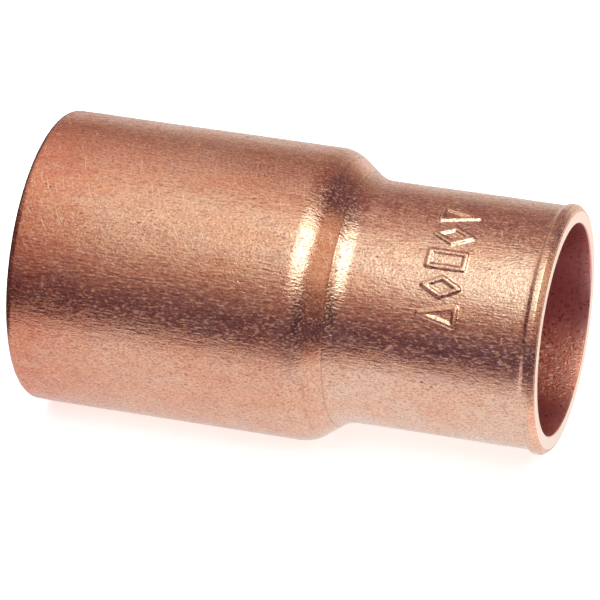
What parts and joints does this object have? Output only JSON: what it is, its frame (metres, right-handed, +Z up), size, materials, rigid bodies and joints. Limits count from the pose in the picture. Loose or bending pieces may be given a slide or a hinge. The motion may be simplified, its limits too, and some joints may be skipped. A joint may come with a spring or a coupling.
{
  "type": "concentric reducer",
  "caption": "Solder-joint concentric reducer: a plain male tube end swaged through a smooth shoulder to a smaller cup for copper tube on the same axis.",
  "frame": {"origin": "on the axis, half-way between the male end's face and the cup's mouth", "axes": "+X along the axis from the large male end to the small cup end, +Z up with the reducer lying on its side, on the large barrel"},
  "size_m": [0.0402, 0.0222, 0.0222],
  "materials": {
    "copper": "drawn bright copper with fine lengthwise marks"
  },
  "bodies": {
    "root": {"reducer_body": "copper"}
  },
  "joints": []
}
